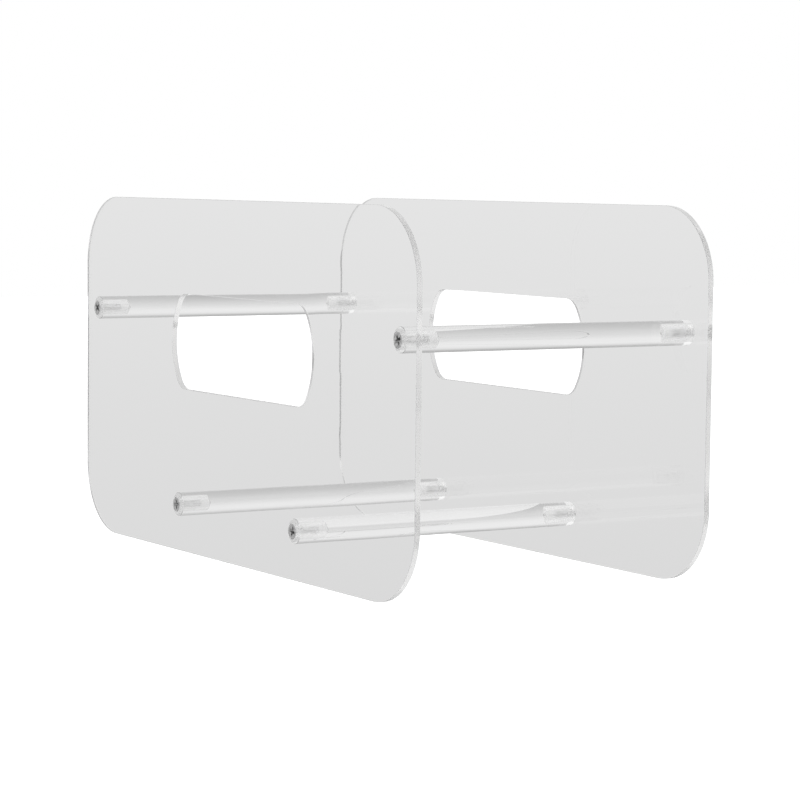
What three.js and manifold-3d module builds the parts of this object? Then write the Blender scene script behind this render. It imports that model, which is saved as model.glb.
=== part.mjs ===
// Clear acrylic magazine rack. Two side panels with hand holes stand upright on their bottom edges.
// Four round rods join them, and a countersunk cross-recess screw goes through the panel into each
// rod end. Magazines stand on the two lower rods, and the two upper rods keep them upright.
// Millimetres. +X runs along the rods, +Y from the front to the rear, +Z up. The origin is on the
// floor, in the middle of the rack.
import * as THREE from "three";
import { mergeVertices } from "three/addons/utils/BufferGeometryUtils.js";
import Module from "manifold-3d";

const wasm = await Module();
wasm.setup();

// Driving dimensions.
const panel = { length: 380, height: 200, thickness: 3.2, cornerRadius: 40 };
const handHole = {
  length: 162,
  height: 54,
  centreHeight: 119.5,
  endRadius: 38, // the bulging ends
  cornerRadius: 12, // between an end and the straight top or bottom
  offset: 5, // from the middle of the panel
};
const bayWidth = 175; // between the inner faces of the panels
const rod = { radius: 6.75, chamfer: 0.3 };
const upperRods = { spread: 348, height: 133.5 };
const lowerRods = { spread: 136, height: 26 };
const rodOffset = 2; // of all four rods towards the rear, from the middle of the panels
const screw = { length: 16, shankRadius: 2, headRadius: 4.2, headLand: 0.3, tipChamfer: 0.5 };
const recess = { reach: 2.3, armWidth: 1, depth: 1.6, bottomScale: 0.45 };
const tappedHole = { radius: 2.6, depth: 18, pointAngle: 118 };
const fitGap = 0.3; // between pieces that touch or nest
const screwTurn = THREE.MathUtils.degToRad(25); // each screw stopped this much further round

// Worked out from them.
const rodLength = bayWidth - 2 * fitGap;
const headHeight = screw.headLand + screw.headRadius - screw.shankRadius; // under a 90 degree cone
const clearanceRadius = screw.shankRadius + fitGap;
const sinkRadius = screw.headRadius + screw.headLand + fitGap; // where the cone meets the face
const sinkDepth = sinkRadius - clearanceRadius;

// How finely the round shapes are divided.
const arcSegments = 20; // each arc of a panel's outline
const rodSegments = 36;
const screwSegments = 28;

const acrylic = new THREE.MeshStandardMaterial({
  color: 0xe9ebea,
  roughness: 0.04,
  metalness: 0,
  transparent: true,
  opacity: 0.35,
});
const steel = new THREE.MeshStandardMaterial({ color: 0x8d8e90, roughness: 0.35, metalness: 1 });

// The four places, by name, where a rod meets the panels.
const rodSites = [
  { name: "upper_front", y: rodOffset - upperRods.spread / 2, z: upperRods.height },
  { name: "upper_rear", y: rodOffset + upperRods.spread / 2, z: upperRods.height },
  { name: "lower_front", y: rodOffset - lowerRods.spread / 2, z: lowerRods.height },
  { name: "lower_rear", y: rodOffset + lowerRods.spread / 2, z: lowerRods.height },
];

function solidOf(geometry) {
  const bare = geometry.clone();
  bare.deleteAttribute("normal");
  bare.deleteAttribute("uv");
  const merged = mergeVertices(bare, 1e-4);
  return new wasm.Manifold(
    new wasm.Mesh({
      numProp: 3,
      vertProperties: merged.attributes.position.array,
      triVerts: new Uint32Array(merged.index.array),
    }),
  );
}

function geometryOf(solid) {
  const { vertProperties, triVerts } = solid.getMesh();
  const geometry = new THREE.BufferGeometry();
  geometry.setAttribute("position", new THREE.BufferAttribute(vertProperties, 3));
  geometry.setIndex(new THREE.BufferAttribute(triVerts, 1));
  geometry.computeVertexNormals();
  return geometry;
}

function cut(geometry, cutters) {
  return geometryOf(cutters.reduce((rest, cutter) => rest.subtract(solidOf(cutter)), solidOf(geometry)));
}

// A profile of [radius, x] points, given from low x to high x, turned about the X axis.
function turned(profile, segments) {
  const points = profile.map(([radius, x]) => new THREE.Vector2(radius, x));
  return new THREE.LatheGeometry(points, segments).rotateZ(-Math.PI / 2);
}

// A flat shape drawn in Y and Z, extruded from x = 0 to x = depth.
function extrudedAlongX(shape, depth) {
  const standing = new THREE.Matrix4().makeBasis(
    new THREE.Vector3(0, 1, 0),
    new THREE.Vector3(0, 0, 1),
    new THREE.Vector3(1, 0, 0),
  );
  const options = { depth, bevelEnabled: false, curveSegments: arcSegments };
  return new THREE.ExtrudeGeometry(shape, options).applyMatrix4(standing);
}

function panelOutline() {
  const { length, height, cornerRadius: r } = panel;
  const end = length / 2;
  const outline = new THREE.Shape();
  outline.moveTo(r - end, 0);
  outline.absarc(end - r, r, r, -Math.PI / 2, 0);
  outline.absarc(end - r, height - r, r, 0, Math.PI / 2);
  outline.absarc(r - end, height - r, r, Math.PI / 2, Math.PI);
  outline.absarc(r - end, r, r, Math.PI, 1.5 * Math.PI);
  return outline;
}

// Straight above and below, with bulging round ends and a small radius at each corner.
function handHoleOutline() {
  const { length, height, centreHeight, endRadius, cornerRadius, offset } = handHole;
  const endCentre = length / 2 - endRadius;
  const cornerRise = height / 2 - cornerRadius;
  const cornerAngle = Math.asin(cornerRise / (endRadius - cornerRadius));
  const cornerCentre = endCentre + (endRadius - cornerRadius) * Math.cos(cornerAngle);
  const outline = new THREE.Path();
  for (const end of [0, Math.PI]) {
    const side = Math.cos(end);
    const bulge = offset + side * endCentre;
    const corner = offset + side * cornerCentre;
    const low = centreHeight - side * cornerRise;
    const high = centreHeight + side * cornerRise;
    outline.absarc(corner, low, cornerRadius, end - Math.PI / 2, end - cornerAngle);
    outline.absarc(bulge, centreHeight, endRadius, end - cornerAngle, end + cornerAngle);
    outline.absarc(corner, high, cornerRadius, end + cornerAngle, end + Math.PI / 2);
  }
  return outline;
}

// The countersink and clearance hole for a screw, cut in from the outer face.
function screwHole(y, z) {
  const past = 1; // how far the cutter runs past each face
  const face = panel.thickness;
  const profile = [
    [0, -past],
    [clearanceRadius, -past],
    [clearanceRadius, face - sinkDepth],
    [sinkRadius + past, face + past],
    [0, face + past],
  ];
  return turned(profile, screwSegments).translate(0, y, z);
}

// A panel with its inner face at x = 0 and its countersinks in the outer face. facing is 1 for the
// right panel, and -1 for the left one, whose own +Y points to the front of the rack.
function panelGeometry(facing) {
  const outline = panelOutline();
  outline.holes.push(handHoleOutline());
  const screwHoles = rodSites.map(({ y, z }) => screwHole(facing * y, z));
  return cut(extrudedAlongX(outline, panel.thickness), screwHoles);
}

// A rod centred on the origin, with a drilled and tapped hole in each end.
function rodGeometry() {
  const half = rodLength / 2;
  const holeEnd = half - tappedHole.depth;
  const point = tappedHole.radius / Math.tan(THREE.MathUtils.degToRad(tappedHole.pointAngle / 2));
  const rightHalf = [
    [rod.radius, half - rod.chamfer],
    [rod.radius - rod.chamfer, half],
    [tappedHole.radius, half],
    [tappedHole.radius, holeEnd],
    [0, holeEnd - point],
  ];
  const leftHalf = rightHalf.map(([radius, x]) => [radius, -x]).reverse();
  return turned([...leftHalf, ...rightHalf], rodSegments);
}

// The cross-shaped driver recess: a plus sign whose arms shrink towards the bottom.
function recessCutter() {
  const arm = recess.armWidth / 2;
  const armEnd = [
    new THREE.Vector2(recess.reach, -arm),
    new THREE.Vector2(recess.reach, arm),
    new THREE.Vector2(arm, arm),
  ];
  const axis = new THREE.Vector2();
  const quarterTurn = (point, turns) => point.clone().rotateAround(axis, (turns * Math.PI) / 2);
  const cross = [0, 1, 2, 3].flatMap((turns) => armEnd.map((point) => quarterTurn(point, turns)));
  const past = 0.2; // how far the cutter stands out of the head
  const cutter = extrudedAlongX(new THREE.Shape(cross), recess.depth + past);
  cutter.translate(-recess.depth, 0, 0);
  const place = cutter.attributes.position;
  for (let i = 0; i < place.count; i++) {
    const scale = place.getX(i) < 0 ? recess.bottomScale : 1;
    place.setY(i, place.getY(i) * scale);
    place.setZ(i, place.getZ(i) * scale);
  }
  return cutter;
}

// A screw with the flat of its head at x = 0 and its shank towards -X.
function screwGeometry() {
  const { length, shankRadius, headRadius, headLand, tipChamfer } = screw;
  const profile = [
    [0, -length],
    [shankRadius - tipChamfer, -length],
    [shankRadius, tipChamfer - length],
    [shankRadius, -headHeight],
    [headRadius, -headLand],
    [headRadius, 0],
    [0, 0],
  ];
  return cut(turned(profile, screwSegments), [recessCutter()]);
}

function namedMesh(name, geometry, material) {
  const mesh = new THREE.Mesh(geometry, material);
  mesh.name = name;
  return mesh;
}

// One end of the rack: a panel and its four screws. The left end is turned half round, which swaps
// front and rear.
function rackEnd(side, screwShape) {
  const end = new THREE.Group();
  const facing = side === "right" ? 1 : -1;
  end.position.x = (facing * bayWidth) / 2;
  end.rotation.z = facing > 0 ? 0 : Math.PI;
  end.add(namedMesh(`${side}_panel`, panelGeometry(facing), acrylic));
  rodSites.forEach((site, i) => {
    const mesh = namedMesh(`${side}_${site.name}_screw`, screwShape, steel);
    mesh.position.set(panel.thickness, facing * site.y, site.z);
    mesh.rotation.x = screwTurn * (i + 1);
    end.add(mesh);
  });
  return end;
}

const rack = new THREE.Group();
const screwShape = screwGeometry();
rack.add(rackEnd("left", screwShape), rackEnd("right", screwShape));
const rodShape = rodGeometry();
for (const site of rodSites) {
  const mesh = namedMesh(`${site.name}_rod`, rodShape, acrylic);
  mesh.position.set(0, site.y, site.z);
  rack.add(mesh);
}

export default rack;
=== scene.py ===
"""Looks of the clear acrylic magazine rack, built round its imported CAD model.

Lengths are in metres, in the CAD frame: X along the rods, Y from front to rear, Z up.
Places and overall sizes come from the CAD nodes' boxes. The sizes that a box can't tell, such as
radii, are repeated here from the CAD source.
"""

import math

import bmesh
import bpy
from mathutils import Matrix, Vector


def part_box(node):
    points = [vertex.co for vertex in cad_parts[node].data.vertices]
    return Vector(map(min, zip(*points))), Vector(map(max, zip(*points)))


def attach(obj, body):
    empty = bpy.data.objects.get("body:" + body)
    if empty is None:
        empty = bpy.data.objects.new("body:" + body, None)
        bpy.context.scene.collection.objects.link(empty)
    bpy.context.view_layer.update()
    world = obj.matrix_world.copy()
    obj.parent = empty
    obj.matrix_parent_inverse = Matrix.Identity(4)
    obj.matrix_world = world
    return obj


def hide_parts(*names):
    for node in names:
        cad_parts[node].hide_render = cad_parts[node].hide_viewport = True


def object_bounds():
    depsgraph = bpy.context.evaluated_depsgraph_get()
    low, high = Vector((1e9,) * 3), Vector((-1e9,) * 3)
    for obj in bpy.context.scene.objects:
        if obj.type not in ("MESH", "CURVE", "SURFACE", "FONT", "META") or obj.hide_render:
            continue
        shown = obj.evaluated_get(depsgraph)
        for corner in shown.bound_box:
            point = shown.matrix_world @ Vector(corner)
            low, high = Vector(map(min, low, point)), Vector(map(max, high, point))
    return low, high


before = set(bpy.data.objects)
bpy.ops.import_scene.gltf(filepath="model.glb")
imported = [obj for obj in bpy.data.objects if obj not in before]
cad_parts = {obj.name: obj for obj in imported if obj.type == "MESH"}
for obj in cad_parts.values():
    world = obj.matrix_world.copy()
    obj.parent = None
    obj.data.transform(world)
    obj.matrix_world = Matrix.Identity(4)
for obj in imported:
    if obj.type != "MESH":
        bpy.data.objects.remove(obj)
cad_low, cad_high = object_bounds()

MM = 0.001

# Sizes repeated from the CAD source.
PANEL_CORNER_RADIUS = 40 * MM
HAND_HOLE_LENGTH = 162 * MM
HAND_HOLE_HEIGHT = 54 * MM
HAND_HOLE_CENTRE_HEIGHT = 119.5 * MM
HAND_HOLE_END_RADIUS = 38 * MM
HAND_HOLE_CORNER_RADIUS = 12 * MM
HAND_HOLE_OFFSET = 5 * MM
CLEARANCE_RADIUS = 2.3 * MM
SHANK_RADIUS = 2 * MM
TAPPED_RADIUS = 2.6 * MM
TAPPED_DEPTH = 18 * MM
DRILL_POINT_ANGLE = math.radians(118)
SCREW_TURN = math.radians(25)

# Fine sizes that only the looks need.
EDGE_BREAK = 0.25 * MM  # the softened edges of the cut sheet and of the drilled holes
ROD_EDGE = 0.3 * MM  # the rounded edges of the rod ends
ROD_GAP = 0.05 * MM  # between a rod and the panel at each end
THREAD_PITCH = 0.7 * MM
TAPPED_THREAD_DEPTH = 0.4 * MM
SCREW_THREAD_DEPTH = 0.4 * MM
SCREW_TIP = 0.5 * MM  # the chamfer below the thread
NECK_LENGTH = 0.8 * MM  # from a screw's cone to its thread
NECK_TAPER = 0.3 * MM  # the length over which the neck narrows, by half as much
HEAD_SUNK = 0.05 * MM  # how far the screw heads are driven in
HEAD_LAND = 0.12 * MM  # the straight rim above the cone
HEAD_RIM = 0.08 * MM  # the broken edge round the top
HEAD_GAP = 0.07 * MM  # between a screw's cone and its countersink, along X
SINK_RIM = 0.05 * MM  # the broken edge round a countersink

# The cross recess from its mouth inwards: the reach of its arms, half their width, and X.
RECESS_LEVELS = [
    (2.6 * MM, 0.85 * MM, 0.0),
    (2.45 * MM, 0.72 * MM, -0.12 * MM),
    (1.3 * MM, 0.42 * MM, -1.4 * MM),
]
RECESS_DEPTH = 1.9 * MM  # to the point in its middle

# How finely the round shapes are divided.
ARC_STEPS = 32
EDGE_STEPS = 3
SCREW_HOLE_STEPS = 64
ROD_STEPS = 96
BORE_STEPS = 48
SCREW_STEPS = 48
RINGS_PER_PITCH = 6
SHARP_ANGLE = math.radians(40)  # edges sharper than this aren't shaded over

# The studio's tones, by height of direction from straight down, 0, to straight up, 1.
RIGHT_TONES = [
    (0.0, 0.52),
    (0.155, 0.52),
    (0.25, 0.56),
    (0.325, 0.62),
    (0.425, 0.69),
    (0.46, 0.735),
    (0.5, 0.785),
    (0.6, 0.85),
    (0.68, 0.85),
    (0.745, 0.78),
    (0.79, 0.66),
    (0.84, 0.48),
    (0.895, 0.42),
    (1.0, 0.42),
]
LEFT_TONES = [
    (0.0, 0.8),
    (0.4, 0.76),
    (0.46, 0.735),
    (0.5, 0.785),
    (0.6, 0.85),
    (0.75, 0.75),
    (1.0, 0.75),
]

# The X of a direction up to which only the left tones show, and from which only the right ones do.
ALL_LEFT, ALL_RIGHT = -0.35, 0.15

# The studio's unlit end, which only shows where an edge mirrors it.
UNLIT_DIRECTION = (0.5, -0.86, -0.08)
UNLIT_ANGLE = math.radians(20)
UNLIT_STRENGTH = 0.3

FLOOR_REACH = 3.0  # to each side
FLOOR_DROP = 0.1 * MM  # below the panels' feet

# The painted pool of light on the floor between the panels: a glow, not a lamp, that stands in for
# light falling there. It fades in and out from its front, 0, to its rear, 1. Between being looked at
# straight on, 0, and edge-on, 1, it starts to go at SHOWN and is gone at HIDDEN.
PAINTED_BAY_LIGHT_DROP = 0.05 * MM
PAINTED_BAY_LIGHT_TONE = 0.87
PAINTED_BAY_LIGHT_FADE = [(0.0, 0.0), (0.35, 1.0), (0.8, 1.0), (1.0, 0.0)]
PAINTED_BAY_LIGHT_SHOWN, PAINTED_BAY_LIGHT_HIDDEN = 0.8, 0.845

BOUNCES = 128  # light crosses many clear faces
DIFFUSE_BOUNCES = 16

SITES = ("upper_front", "upper_rear", "lower_front", "lower_rear")


def middle(node):
    low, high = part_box(node)
    return (low + high) / 2


def size(node):
    low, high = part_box(node)
    return high - low


# --- Node materials ---------------------------------------------------------------------------


class NodeTree:
    """A node tree under construction, with short calls to add and link its nodes."""

    def __init__(self, tree):
        self.tree = tree

    def node(self, kind, **settings):
        made = self.tree.nodes.new(kind)
        for key, value in settings.items():
            setattr(made, key, value)
        return made

    def link(self, source, target):
        self.tree.links.new(source, target)

    def coordinates(self, scale):
        """Object coordinates stretched by scale."""
        place = self.node("ShaderNodeTexCoord")
        stretch = self.node("ShaderNodeMapping")
        stretch.inputs["Scale"].default_value = scale
        self.link(place.outputs["Object"], stretch.inputs["Vector"])
        return stretch.outputs["Vector"]

    def noise(self, vector, scale, detail):
        made = self.node("ShaderNodeTexNoise")
        made.inputs["Scale"].default_value = scale
        made.inputs["Detail"].default_value = detail
        self.link(vector, made.inputs["Vector"])
        return made.outputs["Fac"]

    def ranged(self, value, low, high, from_low=0.0, from_high=1.0):
        """value, brought from its own range to low ... high."""
        made = self.node("ShaderNodeMapRange")
        made.inputs["From Min"].default_value = from_low
        made.inputs["From Max"].default_value = from_high
        made.inputs["To Min"].default_value = low
        made.inputs["To Max"].default_value = high
        self.link(value, made.inputs["Value"])
        return made.outputs["Result"]

    def maths(self, operation, *values):
        """What a maths operation makes of values, each of them a number or an output."""
        made = self.node("ShaderNodeMath", operation=operation)
        for socket, value in zip(made.inputs, values):
            if isinstance(value, (int, float)):
                socket.default_value = value
            else:
                self.link(value, socket)
        return made.outputs["Value"]

    def axes(self, vector):
        """The X, Y and Z of a vector."""
        made = self.node("ShaderNodeSeparateXYZ")
        self.link(vector, made.inputs["Vector"])
        return made.outputs

    def mixed(self, share, first, second):
        """Two shaders mixed: only the first where share is 0, and only the second where it is 1."""
        made = self.node("ShaderNodeMixShader")
        self.link(share, made.inputs["Fac"])
        self.link(first, made.inputs[1])
        self.link(second, made.inputs[2])
        return made.outputs["Shader"]

    def greys(self, value, tones):
        """A grey for each value, from (value, tone) pairs."""
        made = self.node("ShaderNodeValToRGB")
        stops = made.color_ramp.elements
        while len(stops) < len(tones):
            stops.new(1)
        for stop, (position, tone) in zip(stops, tones):
            stop.position = position
            stop.color = (tone, tone, tone, 1)
        self.link(value, made.inputs["Fac"])
        return made.outputs["Color"]

    def bump(self, height, distance, below=None):
        """A normal bumped by height, on top of the normal below it."""
        made = self.node("ShaderNodeBump")
        made.inputs["Strength"].default_value = 1.0
        made.inputs["Distance"].default_value = distance
        self.link(height, made.inputs["Height"])
        if below is not None:
            self.link(below, made.inputs["Normal"])
        return made.outputs["Normal"]


class NodeMaterial(NodeTree):
    """A material of one Principled shader, whose inputs are in surface."""

    def __init__(self, name):
        self.material = bpy.data.materials.new(name)
        self.material.use_nodes = True
        super().__init__(self.material.node_tree)
        self.surface = self.tree.nodes["Principled BSDF"].inputs


def acrylic(name, roughness, waves, grain):
    """Clear acrylic. waves are the slow unevenness of its surface and grain is the fine marks of how
    it was made, each as its scale along X, Y and Z and its height. roughness is its lowest and
    highest value."""
    made = NodeMaterial(name)
    surface = made.surface
    surface["Base Color"].default_value = (1, 1, 1, 1)
    surface["Transmission Weight"].default_value = 1.0
    surface["IOR"].default_value = 1.49
    smudges = made.noise(made.coordinates((1, 1, 1)), scale=22.0, detail=4.0)
    uneven = made.ranged(smudges, *roughness, from_low=0.35, from_high=0.75)
    made.link(uneven, surface["Roughness"])
    wave_scale, wave_height = waves
    grain_scale, grain_height = grain
    wave_noise = made.noise(made.coordinates(wave_scale), scale=1.0, detail=1.0)
    grain_noise = made.noise(made.coordinates(grain_scale), scale=1.0, detail=3.0)
    normal = made.bump(grain_noise, grain_height, below=made.bump(wave_noise, wave_height))
    made.link(normal, surface["Normal"])
    return made.material


def screw_steel(name, dark, light):
    """Plated steel with turning marks, mottled between two greys."""
    made = NodeMaterial(name)
    surface = made.surface
    surface["Metallic"].default_value = 1.0
    tarnish = made.noise(made.coordinates((1, 1, 1)), scale=900.0, detail=4.0)
    made.link(made.greys(tarnish, [(0.35, dark), (0.7, light)]), surface["Base Color"])
    uneven = made.ranged(tarnish, 0.28, 0.5, from_low=0.3, from_high=0.7)
    made.link(uneven, surface["Roughness"])
    turning = made.noise(made.coordinates((20000, 1500, 1500)), scale=1.0, detail=2.0)
    made.link(made.bump(turning, 0.01 * MM), surface["Normal"])
    return made.material


SHEET = acrylic(
    "clear_sheet",
    roughness=(0.0, 0.02),
    waves=((9, 9, 9), 0.05 * MM),
    grain=((300, 300, 300), 0.0004 * MM),
)
CUT_EDGE = acrylic(
    "cut_edge",
    roughness=(0.18, 0.28),
    waves=((40, 40, 40), 0.005 * MM),
    grain=((200, 900, 900), 0.0003 * MM),
)
DRILLED = acrylic(
    "countersink",
    roughness=(0.1, 0.2),
    waves=((900, 900, 900), 0.01 * MM),
    grain=((6000, 6000, 6000), 0.002 * MM),
)
TAPPED = acrylic(
    "tapped",
    roughness=(0.15, 0.35),
    waves=((900, 900, 900), 0.02 * MM),
    grain=((6000, 6000, 6000), 0.01 * MM),
)
ROD = acrylic(
    "clear_rod",
    roughness=(0.0, 0.02),
    waves=((4, 60, 60), 0.02 * MM),
    grain=((20, 1500, 1500), 0.0006 * MM),
)
HEAD = screw_steel("screw_head", dark=0.3, light=0.75)
# A darker copy of the screw steel for the cross recess: painted shade in the hollow, together with
# oxide in it.
SHADED_RECESS_STEEL = screw_steel("screw_recess_shade_and_oxide", dark=0.2, light=0.45)
# A lighter copy of the screw steel for the shank and thread: painted light, so the screw seen through
# the tapped threads is less dark.
LIGHTENED_SHANK_STEEL = screw_steel("screw_shank_painted_light", dark=0.75, light=1.0)


# --- Outlines, as lists of (y, z) points ------------------------------------------------------


def arc(centre, radius, start, end, steps=ARC_STEPS):
    angles = [start + (end - start) * i / steps for i in range(steps + 1)]
    return [(centre[0] + radius * math.cos(a), centre[1] + radius * math.sin(a)) for a in angles]


def panel_outline(length, height, grow):
    """The panel's outline, grown by grow on all sides."""
    reach = length / 2 - PANEL_CORNER_RADIUS
    low, high = PANEL_CORNER_RADIUS, height - PANEL_CORNER_RADIUS
    corners = [(reach, low), (reach, high), (-reach, high), (-reach, low)]
    outline = []
    for i, corner in enumerate(corners):
        start = (i - 1) * math.pi / 2
        outline += arc(corner, PANEL_CORNER_RADIUS + grow, start, start + math.pi / 2)
    return outline


def hand_hole_outline(grow):
    """Straight above and below, with bulging round ends and a small radius at each corner."""
    end_radius = HAND_HOLE_END_RADIUS
    corner_radius = HAND_HOLE_CORNER_RADIUS
    end_reach = HAND_HOLE_LENGTH / 2 - end_radius
    corner_rise = HAND_HOLE_HEIGHT / 2 - corner_radius
    corner_angle = math.asin(corner_rise / (end_radius - corner_radius))
    corner_reach = end_reach + (end_radius - corner_radius) * math.cos(corner_angle)
    quarter = math.pi / 2
    outline = []
    for turn, side in ((0, 1), (math.pi, -1)):
        end = (HAND_HOLE_OFFSET + side * end_reach, HAND_HOLE_CENTRE_HEIGHT)
        first = (HAND_HOLE_OFFSET + side * corner_reach, HAND_HOLE_CENTRE_HEIGHT - side * corner_rise)
        second = (first[0], HAND_HOLE_CENTRE_HEIGHT + side * corner_rise)
        outline += arc(first, corner_radius + grow, turn - quarter, turn - corner_angle)
        outline += arc(end, end_radius + grow, turn - corner_angle, turn + corner_angle)[1:-1]
        outline += arc(second, corner_radius + grow, turn + corner_angle, turn + quarter)
    return outline


def circle(centre, radius):
    return arc(centre, radius, 0, 2 * math.pi, SCREW_HOLE_STEPS)[:-1]


# --- Meshes -----------------------------------------------------------------------------------


def softened(thickness, outline, direction):
    """Rings through a sheet, from its outer face to its inner one, with both edges rounded over.
    outline takes how far to grow. direction is 1 for a hole, which widens at the faces, or -1."""
    steps = [math.pi / 2 * i / EDGE_STEPS for i in range(EDGE_STEPS + 1)]
    offsets = [(EDGE_BREAK * (1 - math.sin(a)), EDGE_BREAK * (1 - math.cos(a))) for a in steps]
    outer = [(thickness - depth, outline(direction * grow)) for grow, depth in offsets]
    inner = [(depth, outline(direction * grow)) for grow, depth in reversed(offsets)]
    return outer + inner


def screw_hole(thickness, site, head_radius):
    """Rings of a countersunk hole, from the outer face to the inner one."""
    sink_radius = head_radius + HEAD_LAND + HEAD_SUNK + HEAD_GAP
    profile = [
        (thickness, sink_radius + SINK_RIM),
        (thickness - SINK_RIM, sink_radius - SINK_RIM / 2),
        (thickness - (sink_radius - CLEARANCE_RADIUS), CLEARANCE_RADIUS),
        (EDGE_BREAK / 2, CLEARANCE_RADIUS),
        (0, CLEARANCE_RADIUS + EDGE_BREAK / 2),
    ]
    return [(x, circle(site, radius)) for x, radius in profile]


def panel_mesh(name, thickness, length, height, sites, head_radius):
    """A panel with its inner face at x = 0. Its faces, cut edges and drilled holes are
    material slots 0, 1 and 2."""
    walls = [
        (softened(thickness, lambda grow: panel_outline(length, height, grow), -1), 1),
        (softened(thickness, hand_hole_outline, 1), 1),
    ]
    walls += [(screw_hole(thickness, site, head_radius), 2) for site in sites]
    bm = bmesh.new()
    outer_rims, inner_rims = [], []
    for rings, slot in walls:
        loops = [[bm.verts.new((x, y, z)) for y, z in outline] for x, outline in rings]
        outer, inner = join_loops(bm, loops, slot)
        outer_rims.append(outer)
        inner_rims.append(inner)
    fill_between(bm, outer_rims)
    fill_between(bm, inner_rims)
    return finished(bm, name)


def finished(bm, name):
    """The mesh, shaded smooth apart from its sharper edges."""
    bmesh.ops.recalc_face_normals(bm, faces=bm.faces)
    for face in bm.faces:
        face.smooth = True
    for edge in bm.edges:
        edge.smooth = edge.calc_face_angle() < SHARP_ANGLE
    mesh = bpy.data.meshes.new(name)
    bm.to_mesh(mesh)
    bm.free()
    return mesh


def turned_faces(bm, rings, steps, slot=0):
    """Faces between rings of (x, radius) about the X axis. A radius may be a function of the
    angle. Returns the first and last loops."""
    angles = [2 * math.pi * i / steps for i in range(steps)]
    loops = []
    for x, radius in rings:
        reaches = [radius(a) if callable(radius) else radius for a in angles]
        corners = [(x, r * math.cos(a), r * math.sin(a)) for r, a in zip(reaches, angles)]
        loops.append([bm.verts.new(corner) for corner in corners])
    return join_loops(bm, loops, slot)


def join_loops(bm, loops, slot):
    """Faces between each loop and the next. Returns the first and last loops."""
    for near, far in zip(loops, loops[1:]):
        for i in range(len(near)):
            wall = bm.faces.new((near[i - 1], near[i], far[i], far[i - 1]))
            wall.material_index = slot
    return loops[0], loops[-1]


def fan(bm, loop, tip, slot):
    """Closes a loop with a cone or disc to its tip."""
    point = bm.verts.new(tip)
    for i in range(len(loop)):
        wall = bm.faces.new((loop[i - 1], loop[i], point))
        wall.material_index = slot


def fill_between(bm, loops):
    """The flat face inside the first loop and outside the others."""
    edges = [bm.edges.get((loop[i - 1], loop[i])) for loop in loops for i in range(len(loop))]
    bmesh.ops.triangle_fill(bm, edges=edges, use_beauty=True)


def thread(start, end, low_radius, depth):
    """Rings of a helical thread between two places on X: low_radius at its root, and depth more
    at its crest. It fades in and out over one pitch."""
    count = math.ceil(abs(end - start) / THREAD_PITCH * RINGS_PER_PITCH)

    def radius_at(x):
        fade = min(1.0, abs(x - start) / THREAD_PITCH, abs(x - end) / THREAD_PITCH)

        def radius(angle):
            phase = (x / THREAD_PITCH - angle / (2 * math.pi)) % 1.0
            ridge = 1 - abs(2 * phase - 1)
            return low_radius + depth * fade * ridge

        return radius

    places = [start + (end - start) * i / count for i in range(count + 1)]
    return [(x, radius_at(x)) for x in places]


def rod_mesh(name, length, radius):
    """A clear rod along X, centred on the origin. Its polished surface and its tapped holes are
    material slots 0 and 1."""
    half = length / 2
    bore_end = half - TAPPED_DEPTH
    point = TAPPED_RADIUS / math.tan(DRILL_POINT_ANGLE / 2)
    bm = bmesh.new()
    turns = [math.pi / 2 * i / EDGE_STEPS for i in range(EDGE_STEPS + 1)]
    edge = [(ROD_EDGE * (1 - math.sin(a)), ROD_EDGE * (1 - math.cos(a))) for a in turns]
    right = [(half - inwards, radius - down) for inwards, down in edge]
    left = [(-x, r) for x, r in reversed(right)]
    left_rim, right_rim = turned_faces(bm, left + right, ROD_STEPS)
    for side, rim in ((-1, left_rim), (1, right_rim)):
        start, end = side * (half - EDGE_BREAK), side * bore_end
        rings = [(side * half, TAPPED_RADIUS + TAPPED_THREAD_DEPTH)]
        rings += thread(start, end, TAPPED_RADIUS, TAPPED_THREAD_DEPTH)
        opening, bottom = turned_faces(bm, rings, BORE_STEPS, slot=1)
        fan(bm, bottom, (side * (bore_end - point), 0, 0), slot=1)
        fill_between(bm, (rim, opening))
    return finished(bm, name)


def cross_outline(reach, half_width, x):
    """The twelve corners of a plus sign at x."""
    arm = [(reach, -half_width), (reach, half_width), (half_width, half_width)]
    corners = []
    for turn in range(4):
        c, s = math.cos(turn * math.pi / 2), math.sin(turn * math.pi / 2)
        corners += [(x, y * c - z * s, y * s + z * c) for y, z in arm]
    return corners


def screw_mesh(name, length, head_radius):
    """A countersunk cross-recess screw with the flat of its head at x = 0. That flat, the recess
    and the rest are material slots 0, 1 and 2."""
    bm = bmesh.new()
    cone_end = -(HEAD_LAND + head_radius - SHANK_RADIUS)
    root = SHANK_RADIUS - SCREW_THREAD_DEPTH
    rings = [
        (0, head_radius - HEAD_RIM),
        (-HEAD_RIM, head_radius),
        (-HEAD_LAND, head_radius),
        (cone_end, SHANK_RADIUS),
        (cone_end - NECK_TAPER, SHANK_RADIUS - NECK_TAPER / 2),
    ]
    rings += thread(cone_end - NECK_LENGTH, -length + SCREW_TIP, root, SCREW_THREAD_DEPTH)
    rings.append((-length, root - SCREW_TIP))
    top, tip = turned_faces(bm, rings, SCREW_STEPS, slot=2)
    fan(bm, tip, (-length, 0, 0), slot=2)
    loops = [[bm.verts.new(corner) for corner in cross_outline(*level)] for level in RECESS_LEVELS]
    mouth, deepest = join_loops(bm, loops, slot=1)
    fan(bm, deepest, (-RECESS_DEPTH, 0, 0), slot=1)
    fill_between(bm, (top, mouth))
    return finished(bm, name)


# --- Pieces -----------------------------------------------------------------------------------


def piece(name, mesh, materials, node, place, turn=None):
    """Adds a piece that stands for a CAD node."""
    for material in materials:
        mesh.materials.append(material)
    made = bpy.data.objects.new(name, mesh)
    made.matrix_world = Matrix.Translation(place) @ (turn or Matrix.Identity(4))
    bpy.context.scene.collection.objects.link(made)
    shading = made.modifiers.new("even_shading", "WEIGHTED_NORMAL")
    shading.keep_sharp = True
    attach(made, "root")
    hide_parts(node)


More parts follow.
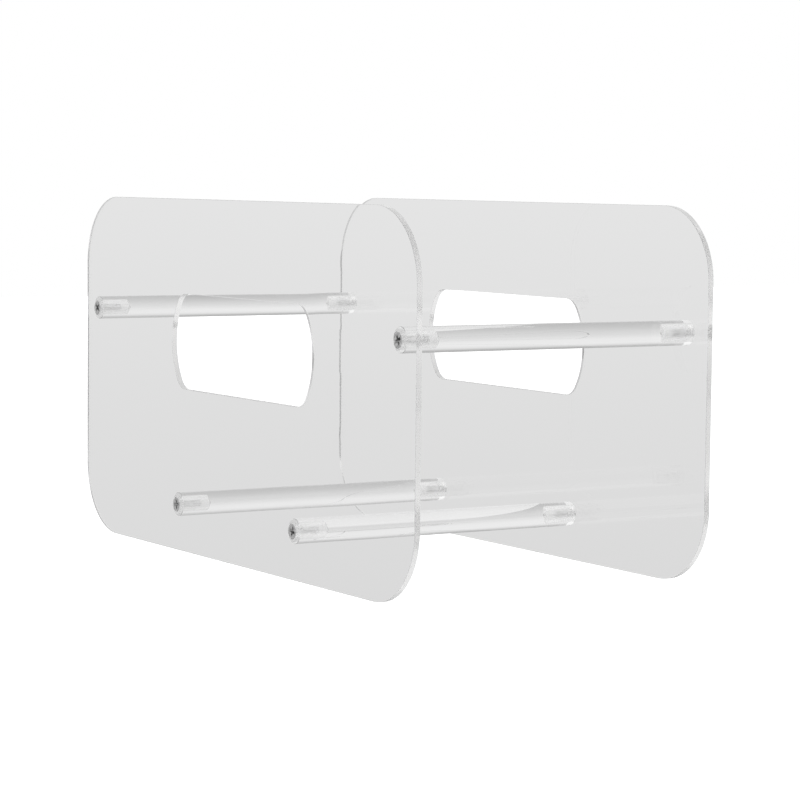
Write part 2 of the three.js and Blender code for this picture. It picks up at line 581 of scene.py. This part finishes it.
def add_panels():
    """The left panel is turned half round, so its screws are the other way round in its mesh."""
    for side, facing in (("left", -1), ("right", 1)):
        node = f"{side}_panel"
        dims, centre = size(node), middle(node)
        screws = [middle(f"{side}_{site}_screw") for site in SITES]
        sites = [(facing * screw.y, screw.z) for screw in screws]
        head_radius = size(f"{side}_{SITES[0]}_screw").z / 2
        mesh = panel_mesh(f"clear_{node}", dims.x, dims.y, dims.z, sites, head_radius)
        place = Vector((centre.x - facing * dims.x / 2, centre.y, 0))
        turn = Matrix.Rotation(math.pi if side == "left" else 0, 4, "Z")
        piece(f"clear_{node}", mesh, [SHEET, CUT_EDGE, DRILLED], node, place, turn)


def add_rods():
    bay = 2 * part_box("right_panel")[0].x
    for site in SITES:
        node = f"{site}_rod"
        mesh = rod_mesh(f"clear_{node}", bay - 2 * ROD_GAP, size(node).z / 2)
        piece(f"clear_{node}", mesh, [ROD, TAPPED], node, middle(node))


def add_screws():
    """The left screws are turned half round, and each screw stopped a little further round."""
    for side, half_turn in (("left", math.pi), ("right", 0.0)):
        for i, site in enumerate(SITES):
            node = f"{side}_{site}_screw"
            dims = size(node)
            mesh = screw_mesh(f"steel_{node}", dims.x, dims.z / 2)
            low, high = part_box(node)
            place = middle(node)
            place.x = low.x + HEAD_SUNK if side == "left" else high.x - HEAD_SUNK
            turn = Matrix.Rotation(half_turn, 4, "Z") @ Matrix.Rotation(SCREW_TURN * (i + 1), 4, "X")
            piece(f"steel_{node}", mesh, [HEAD, SHADED_RECESS_STEEL, LIGHTENED_SHANK_STEEL], node, place, turn)


# --- Studio -----------------------------------------------------------------------------------


def add_camera():
    """Where the photographer stood: in front, to the left and a little above the rack."""
    from_centre = Vector((-0.8089, -1.3574, 0.1163))
    turn_right = math.radians(31.27)
    look_up = math.radians(-4.64)
    roll = math.radians(0.59)
    data = bpy.data.cameras.new("camera")
    data.lens = 126.4
    data.clip_start = 0.05
    data.clip_end = 50
    camera = bpy.data.objects.new("camera", data)
    aim = Matrix.Rotation(-turn_right, 4, "Z") @ Matrix.Rotation(math.pi / 2 + look_up, 4, "X")
    place = Matrix.Translation((cad_low + cad_high) / 2 + from_centre)
    camera.matrix_world = place @ aim @ Matrix.Rotation(roll, 4, "Z")
    bpy.context.scene.collection.objects.link(camera)
    bpy.context.scene.camera = camera


def studio_tones(studio, direction):
    """The studio's grey in each direction, brighter on the left than on the right."""
    axes = studio.axes(direction)
    height = studio.ranged(axes["Z"], 0, 1, from_low=-1, from_high=1)
    leftness = studio.ranged(axes["X"], 1, 0, from_low=ALL_LEFT, from_high=ALL_RIGHT)
    sides = studio.node("ShaderNodeMix", data_type="RGBA")
    studio.link(leftness, sides.inputs["Factor"])
    studio.link(studio.greys(height, RIGHT_TONES), sides.inputs["A"])
    studio.link(studio.greys(height, LEFT_TONES), sides.inputs["B"])
    return sides.outputs["Result"]


def studio_strength(studio, direction, glossy_depth):
    """Full strength, but less towards the unlit end for light that a surface has mirrored."""
    towards = studio.node("ShaderNodeVectorMath", operation="DOT_PRODUCT")
    studio.link(direction, towards.inputs[0])
    towards.inputs[1].default_value = UNLIT_DIRECTION
    edge, core = math.cos(UNLIT_ANGLE), math.cos(UNLIT_ANGLE / 2)
    lost = 1 - UNLIT_STRENGTH
    unlit = studio.ranged(towards.outputs["Value"], 0, lost, from_low=edge, from_high=core)
    mirrored = studio.maths("MINIMUM", glossy_depth, 1)
    return studio.maths("SUBTRACT", 1, studio.maths("MULTIPLY", unlit, mirrored))


def add_surroundings():
    """The studio as the clear pieces bend and mirror it. The camera itself sees a white backdrop."""
    world = bpy.data.worlds.new("studio")
    world.use_nodes = True
    studio = NodeTree(world.node_tree)
    direction = studio.node("ShaderNodeTexCoord").outputs["Generated"]
    light_path = studio.node("ShaderNodeLightPath").outputs
    grey = studio.tree.nodes["Background"]
    studio.link(studio_tones(studio, direction), grey.inputs["Color"])
    strength = studio_strength(studio, direction, light_path["Glossy Depth"])
    studio.link(strength, grey.inputs["Strength"])
    white = studio.node("ShaderNodeBackground")
    white.inputs["Color"].default_value = (1, 1, 1, 1)
    backdrop = white.outputs["Background"]
    seen = studio.mixed(light_path["Is Camera Ray"], grey.outputs["Background"], backdrop)
    studio.link(seen, studio.tree.nodes["World Output"].inputs["Surface"])
    bpy.context.scene.world = world


def add_plane(name, front_left, rear_right, drop, material):
    """A flat part of the studio between two (x, y) corners, just below the rack."""
    left, front = front_left
    right, rear = rear_right
    mesh = bpy.data.meshes.new(name)
    corners = [(left, front, 0), (right, front, 0), (right, rear, 0), (left, rear, 0)]
    mesh.from_pydata(corners, [], [(0, 1, 2, 3)])
    mesh.materials.append(material)
    plane = bpy.data.objects.new(name, mesh)
    plane.location.z = cad_low.z - drop
    bpy.context.scene.collection.objects.link(plane)
    return plane


def add_floor():
    """The pale floor, which the camera sees directly but not in or through the acrylic."""
    made = NodeMaterial("pale_floor")
    surface = made.surface
    surface["Base Color"].default_value = (0.9, 0.9, 0.9, 1)
    surface["Roughness"].default_value = 0.8
    surface["Specular IOR Level"].default_value = 0.0
    surface["Emission Color"].default_value = (1, 1, 1, 1)
    surface["Emission Strength"].default_value = 0.7
    front_left, rear_right = (-FLOOR_REACH, -FLOOR_REACH), (FLOOR_REACH, FLOOR_REACH)
    floor = add_plane("floor", front_left, rear_right, FLOOR_DROP, made.material)
    floor.visible_transmission = False
    floor.visible_glossy = False


def painted_bay_light_material():
    """A painted pool of light: a glow that shows when looked at steeply from above, and fades out at
    its front and rear.
    """
    made = NodeMaterial("painted_bay_light")
    made.material.cycles.emission_sampling = "NONE"
    made.tree.nodes.remove(made.tree.nodes["Principled BSDF"])
    clear = made.node("ShaderNodeBsdfTransparent")
    glow = made.node("ShaderNodeEmission")
    glow.inputs["Strength"].default_value = PAINTED_BAY_LIGHT_TONE
    facing = made.node("ShaderNodeLayerWeight").outputs["Facing"]
    steep = made.ranged(facing, 0, 1, from_low=PAINTED_BAY_LIGHT_HIDDEN, from_high=PAINTED_BAY_LIGHT_SHOWN)
    axes = made.axes(made.node("ShaderNodeTexCoord").outputs["Generated"])
    shown = made.maths("MULTIPLY", steep, made.greys(axes["Y"], PAINTED_BAY_LIGHT_FADE))
    seen = made.mixed(shown, clear.outputs["BSDF"], glow.outputs["Emission"])
    made.link(seen, made.tree.nodes["Material Output"].inputs["Surface"])
    return made.material


def add_painted_bay_light():
    """A painted pool of light on the floor between the panels, back to the lower rear rod. It only
    shows through acrylic, and is brighter there than the studio's own tones."""
    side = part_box("right_panel")[0].x
    front_left, rear_right = (-side, cad_low.y), (side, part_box("lower_rear_rod")[1].y)
    # The painted pool of light lies just above the floor, glowing where rays through the acrylic
    # reach it.
    floor = add_plane("painted_bay_light", front_left, rear_right, PAINTED_BAY_LIGHT_DROP, painted_bay_light_material())
    floor.visible_camera = False
    floor.visible_diffuse = False
    floor.visible_glossy = False
    floor.visible_shadow = False


def add_overhead_light():
    """One wide, even light from above, which keeps the floor white."""
    towards_light = Vector((-0.52, 0.15, 0.84))
    data = bpy.data.lights.new("overhead", "SUN")
    data.angle = math.radians(90)
    data.energy = 0.4
    light = bpy.data.objects.new("overhead", data)
    light.rotation_euler = towards_light.to_track_quat("Z", "Y").to_euler()
    bpy.context.scene.collection.objects.link(light)


def set_rendering():
    """Plain tones, unblurred glints, and enough bounces for all the clear faces in light's way."""
    scene = bpy.context.scene
    scene.view_settings.view_transform = "Standard"
    scene.cycles.max_bounces = BOUNCES
    scene.cycles.transmission_bounces = BOUNCES
    scene.cycles.glossy_bounces = BOUNCES
    scene.cycles.diffuse_bounces = DIFFUSE_BOUNCES
    scene.cycles.blur_glossy = 0


add_camera()
add_panels()
add_rods()
add_screws()
add_surroundings()
add_floor()
add_painted_bay_light()
add_overhead_light()
set_rendering()
